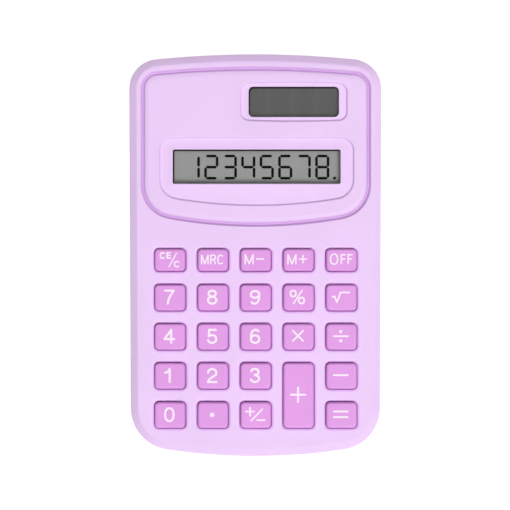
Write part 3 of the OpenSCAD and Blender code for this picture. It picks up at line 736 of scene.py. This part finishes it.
def dome_sheet():
    """The sheet stays put; each dome is its own piece, with a mesh of its own."""
    base_low, base_high, crown = 4.6, 5.1, 6.7
    web_low, web_high = 5.95, 6.15
    foot_r, post_hole_r = 3.0, 1.9
    low, high = [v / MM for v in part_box("dome_sheet")]
    middle = ((low.x + high.x) / 2, (low.y + high.y) / 2)
    edge = outline(box_shape(high.x - low.x, high.y - low.y, 2), 0, middle)
    bm = bmesh.new()
    holes = [(key_centre(column, row), foot_r) for _, column, row in KEYS]
    holes += [(at, post_hole_r) for at in BOARD_SCREWS if low.y < at[1] < high.y]
    hole_rings = [[ring(bm, circle(at, radius, 24), z) for z in (base_low, base_high)]
                  for at, radius in holes]
    edges = [ring(bm, edge, z) for z in (base_low, base_high)]
    skin(bm, edges)
    for pair in hole_rings:
        skin(bm, pair)
    for level in (0, 1):
        flat(bm, edges[level], *[pair[level] for pair in hole_rings])
    piece(bm, "dome_base", SILICONE, replaces=["dome_sheet"])

    crown_r, axis_r = 2.1, 0.05
    section = rounded_path([(foot_r, base_high, 0), (1.75, web_low, 0.3), (axis_r, web_low, 0),
                            (axis_r, crown, 0), (crown_r, crown, 0.15), (crown_r, web_high, 0.1),
                            (crown_r + 0.3, web_high, 0.3), (foot_r + 0.6, base_high, 0)], 3)
    for name, column, row in KEYS:
        bm = bmesh.new()
        centre = key_centre(column, row)
        turned(bm, centre, [(p[0], p[1]) for p in section], 28)
        dome = piece(bm, f"dome_{name}", SILICONE)
        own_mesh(dome)


# ---------------------------------------------------------------- printed legends

def stroke_faces(path, width, closed=False):
    """A line as quads of that width, with a disc at each end and sharp turn."""
    half, count = width / 2, len(path)
    path = [Vector(p) for p in path]
    sides = []
    for i, p in enumerate(path):
        before = path[i - 1] if i or closed else p
        after = path[(i + 1) % count] if i < count - 1 or closed else p
        on = ((after - p).normalized() + (p - before).normalized()).normalized()
        sides.append((p + Vector((-on.y, on.x)) * half, p - Vector((-on.y, on.x)) * half))
    faces = []
    for i in range(0 if closed else 1, count):
        (a, b), (c, d) = sides[i - 1], sides[i]
        faces.append([b, d, c, a])
    if not closed:
        faces += [[Vector(q) for q in circle(end, half, 16)] for end in (path[0], path[-1])]
    return faces


def strokes(lines, width):
    """Faces of several lines. A line is (points, closed); its sharp corners get discs too."""
    faces = []
    for path, closed in lines:
        path = [Vector(p) for p in path]
        start = 0
        for i in range(1, len(path) - 1):
            if (path[i] - path[i - 1]).angle(path[i + 1] - path[i]) > math.radians(30):
                faces += stroke_faces(path[start:i + 1], width)
                start = i
        faces += stroke_faces(path[start:], width, closed and start == 0)
    return faces


def oval(centre, width, height, start=90, sweep=360, power=2.0):
    """Points round an oval or superellipse, in degrees counter-clockwise."""
    closed = abs(sweep) == 360
    steps = max(4, round(abs(sweep) / 12))
    points = []
    for i in range(steps + (0 if closed else 1)):
        turn = math.radians(start + sweep * i / steps)
        c, s = math.cos(turn), math.sin(turn)
        points.append((centre[0] + width / 2 * math.copysign(abs(c) ** (2 / power), c),
                       centre[1] + height / 2 * math.copysign(abs(s) ** (2 / power), s)))
    return points, closed


def line(*points):
    return list(points), False


def dot(centre, diameter):
    """A disc, as one face."""
    return [[Vector(p) for p in circle(centre, diameter / 2, 20)]]


def bar(centre, width):
    return line((centre[0] - width / 2, centre[1]), (centre[0] + width / 2, centre[1]))


def plus_sign(centre, size):
    x, y = centre
    return [bar(centre, size), line((x, y - size / 2), (x, y + size / 2))]


def letter(kind, centre, width, height):
    """The line work of one letter in a box of that size."""
    x, y = centre
    w, h = width / 2, height / 2
    if kind == "C":
        return [oval(centre, width, height, 48, 264, 2.3)]
    if kind == "O":
        return [oval(centre, width, height, power=2.3)]
    if kind == "E":
        return [line((x + w, y + h), (x - w, y + h), (x - w, y - h), (x + w, y - h)),
                line((x - w, y), (x + w * 0.8, y))]
    if kind == "F":
        return [line((x + w, y + h), (x - w, y + h), (x - w, y - h)),
                line((x - w, y + h * 0.06), (x + w * 0.7, y + h * 0.06))]
    if kind == "M":
        return [line((x - w, y - h), (x - w, y + h), (x, y - h), (x + w, y + h), (x + w, y - h))]
    if kind == "R":
        bowl = oval((x + w * 0.25, y + h * 0.5), w * 1.5, h, 90, -180)[0]
        return [line((x - w, y - h), (x - w, y + h), *bowl, (x - w, y)),
                line((x + w * 0.25, y), (x + w, y - h))]
    raise ValueError(kind)


# width and height of the figures between the middles of their lines, and their place on the cap
FIG_W, FIG_H = 2.4, 3.7
FIG_X, FIG_Y = -0.2, 0.17
FIG_LINE, SIGN_LINE, SMALL_LINE = 0.62, 0.5, 0.42


def figure(kind):
    """The line work of one digit, round its own centre."""
    w, h = FIG_W / 2, FIG_H / 2
    top, mid, low = h, 0.12, -h
    upper, lower = (top + mid) / 2, (mid + low) / 2
    if kind == "0":
        return [oval((0, 0), FIG_W, FIG_H, power=2.25)]
    if kind == "1":
        return [line((-w * 0.95, h * 0.42), (-0.35, h * 0.6), (0.1, top), (0.1, low))]
    if kind == "2":
        hook = oval((0, top - w * 0.95), FIG_W * 0.98, FIG_W * 0.95, 175, -205)[0]
        return [line(*hook, (-w * 0.55, low * 0.48), (-w, low), (w, low))]
    if kind == "3":
        return [line(*oval((-0.05, upper + 0.05), FIG_W * 0.88, top - mid, 165, -255)[0]),
                line(*oval((-0.05, lower), FIG_W * 0.98, mid - low, 90, -255)[0])]
    if kind == "4":
        return [line((w * 0.45, low), (w * 0.45, top), (-w * 1.15, low * 0.42), (w * 1.15, low * 0.42))]
    if kind == "5":
        bowl = oval((-0.03, lower + 0.12), FIG_W, mid - low + 0.25, 140, -300)[0]
        return [line((w * 0.85, top), (-w * 0.72, top), *bowl)]
    if kind == "6":
        back = oval((0.12, 0.0), FIG_W * 1.05, FIG_H, 50, 130, 2.1)[0]
        return [oval((0, lower + 0.08), FIG_W, mid - low + 0.16, power=2.1), line(*back)]
    if kind == "7":
        return [line((-w, top), (w, top), (w * 0.35, 0.55), (-w * 0.18, -0.7), (-w * 0.35, low))]
    if kind == "8":
        return [oval((0, upper + 0.03), FIG_W * 0.86, top - mid - 0.06), oval((0, lower), FIG_W, mid - low)]
    if kind == "9":
        back = oval((-0.12, 0.0), FIG_W * 1.05, FIG_H, 230, 130, 2.1)[0]
        return [oval((0, upper - 0.2), FIG_W, top - mid + 0.16, power=2.1), line(*back)]
    raise ValueError(kind)


def moved(lines, x, y):
    return [([(px + x, py + y) for px, py in path], closed) for path, closed in lines]


def legend_faces(name):
    """The printed marks of one key, round the key's centre."""
    if name in "0123456789" and len(name) == 1:
        return strokes(moved(figure(name), FIG_X, FIG_Y), FIG_LINE)
    if name == "clear":
        small = letter("C", (-2.13, 1.3), 1.25, 1.55) + letter("E", (-0.36, 1.35), 0.95, 1.5) + \
            letter("C", (1.97, -1.15), 1.4, 1.5)
        return strokes(small, SMALL_LINE) + strokes([line((1.85, 1.96), (-0.3, -1.89))], 0.34)
    if name == "recall":
        return strokes(letter("M", (-2.28, 0.18), 1.85, 2.45) + letter("R", (0.07, 0.18), 1.3, 2.45) +
                       letter("C", (2.19, 0.18), 1.55, 2.45), 0.4)
    if name == "memory_minus":
        return strokes(letter("M", (-1.88, 0.26), 2.25, 2.6) + [bar((1.27, 0.33), 2.0)], SMALL_LINE)
    if name == "memory_plus":
        return strokes(letter("M", (-1.9, 0.25), 2.25, 2.6) + plus_sign((1.26, 0.3), 2.05),
                       SMALL_LINE)
    if name == "off":
        return strokes(letter("O", (-2.1, 0.28), 2.0, 2.85) + letter("F", (0.5, 0.28), 1.1, 2.5) +
                       letter("F", (2.45, 0.28), 1.1, 2.5), SMALL_LINE)
    if name == "percent":
        return strokes([oval((-1.56, 1.18), 1.6, 1.75), oval((0.82, -0.79), 1.6, 1.75)], SIGN_LINE) + \
            strokes([line((1.0, 2.1), (-1.45, -1.65))], 0.44)
    if name == "root":
        return strokes([line((-2.5, 0.24), (-2.0, 0.4), (-1.29, -1.25), (-0.26, 1.5), (2.2, 1.5))],
                       SIGN_LINE)
    if name == "multiply":
        return strokes([line((-1.62, -1.15), (1.28, 1.75)), line((-1.62, 1.75), (1.28, -1.15))],
                       SIGN_LINE)
    if name == "divide":
        return strokes([bar((-0.2, 0.2), 4.0)], SIGN_LINE) + dot((-0.2, 1.5), 0.95) + dot((-0.2, -1.1), 0.95)
    if name == "minus":
        return strokes([bar((-0.2, 0.27), 4.0)], 0.55)
    if name == "equals":
        return strokes([bar((-0.2, 1.08), 3.9), bar((-0.2, -0.52), 3.9)], 0.55)
    if name == "plus":
        return strokes(plus_sign((-0.15, 0.27), 4.1), 0.58)
    if name == "point":
        return dot((-0.2, 0.1), 1.3)
    if name == "sign":
        return strokes(plus_sign((-1.62, 1.06), 2.3) + [bar((1.46, -1.39), 2.1)], 0.52) + \
            strokes([line((1.85, 1.73), (-1.3, -1.57))], 0.46)
    raise ValueError(name)


def legend(name, column, row):
    """Ink of an even thickness in the shape of all the strokes together."""
    faces = legend_faces(name)
    points, index = [], []
    for face in faces:
        index.append(list(range(len(points), len(points) + len(face))))
        points += face
    whole_hull, tolerance = 0, 1e-6
    verts, _, tris, _, _, origins = delaunay_2d_cdt(points, [], index, whole_hull, tolerance)
    centre = key_centre(column, row)
    bm = bmesh.new()
    top = [bm.verts.new((v.x + centre[0], v.y + centre[1], CAP_TOP + INK)) for v in verts]
    for tri, origin in zip(tris, origins):
        if origin:
            bm.faces.new([top[i] for i in tri])
    rim = [e for e in bm.edges if len(e.link_faces) == 1]
    walls = bmesh.ops.extrude_edge_only(bm, edges=rim)["geom"]
    for v in walls:
        if isinstance(v, bmesh.types.BMVert):
            v.co.z = CAP_TOP - INK
    bmesh.ops.delete(bm, geom=[v for v in bm.verts if not v.link_faces], context="VERTS")
    bmesh.ops.dissolve_limit(bm, angle_limit=math.radians(1), verts=bm.verts, edges=bm.edges)
    bmesh.ops.triangulate(bm, faces=bm.faces)
    piece(bm, f"legend_{name}", PRINT, f"key_{name}_body")


# ---------------------------------------------------------------- stage, lights and camera

VIEW_WIDTH = 145.605     # the width in view at VIEW_LEVEL
VIEW_LEVEL = 8.2
CAMERA_AT = (-0.11, 0.06)
SKY = 0.12
FLOOR_GLOW = 0.8
# name, bearing and tilt from the zenith in degrees, share of the light, distance and size in metres
SOFT_BOXES = [("near_box", -63, 27, 0.65, 5.0, (2.8, 1.8)), ("far_box", 95, 18, 0.1, 0.9, (0.5, 0.3)),
              ("left_box", 178, 20, 0.05, 2.5, (0.8, 1.2)), ("right_box", 2, 20, 0.1, 2.5, (0.8, 1.2))]


def studio():
    """A pale floor, an even sky and four soft boxes round the zenith, the strongest at the near right."""
    floor = Surface("pale_floor", Emission_Color=(1, 1, 1, 1), Emission_Strength=FLOOR_GLOW)
    floor.colour(floor.noise(3, 3), (186, 186, 186), (190, 190, 190))
    floor.roughness(floor.noise(40), 0.8, 0.9)
    floor.relief(floor.noise(900), 0.02, 0.2)
    bm = bmesh.new()
    reach, level = 6000, -0.01
    bm.faces.new(ring(bm, [(-reach, -reach), (reach, -reach), (reach, reach), (-reach, reach)], level))
    mesh = bpy.data.meshes.new("floor")
    bm.to_mesh(mesh)
    bm.free()
    mesh.transform(Matrix.Scale(MM, 4))
    mesh.materials.append(floor.material)
    ground = bpy.data.objects.new("floor", mesh)
    bpy.context.scene.collection.objects.link(ground)

    world = bpy.data.worlds.new("sky")
    bpy.context.scene.world = world
    world.use_nodes = True
    background = world.node_tree.nodes["Background"]
    background.inputs["Color"].default_value = (1, 1, 1, 1)
    background.inputs["Strength"].default_value = SKY

    for name, bearing, tilt, share, distance, size in SOFT_BOXES:
        lamp = bpy.data.lights.new(name, "AREA")
        lamp.shape = "RECTANGLE"
        lamp.size, lamp.size_y = size
        tilt, bearing = math.radians(tilt), math.radians(bearing)
        lamp.energy = share * (math.pi * distance) ** 2 / math.cos(tilt)
        side = Vector((math.cos(bearing), math.sin(bearing), 0)) * math.sin(tilt)
        obj = bpy.data.objects.new(name, lamp)
        obj.location = (side + Vector((0, 0, math.cos(tilt)))) * distance
        obj.rotation_mode = "QUATERNION"
        obj.rotation_quaternion = obj.location.to_track_quat("Z", "Y")
        bpy.context.scene.collection.objects.link(obj)


def overhead_camera():
    """Straight above, turned so that +Y is up, and far enough to hold the whole case."""
    data = bpy.data.cameras.new("overhead")
    data.lens = 150
    data.sensor_width = 36
    height = (VIEW_WIDTH * data.lens / data.sensor_width + VIEW_LEVEL) * MM
    data.clip_start, data.clip_end = 0.01, 20
    camera = bpy.data.objects.new("overhead", data)
    camera.location = (CAMERA_AT[0] * MM, CAMERA_AT[1] * MM, height)
    bpy.context.scene.collection.objects.link(camera)
    bpy.context.scene.camera = camera
    bpy.context.scene.view_settings.view_transform = "Standard"


dress_nodes()
front_shell()
display_cell()
rear_shell()
battery_door()
screws()
dome_sheet()
for key in KEYS:
    key_cap(*key)
    legend(*key)
studio()
overhead_camera()
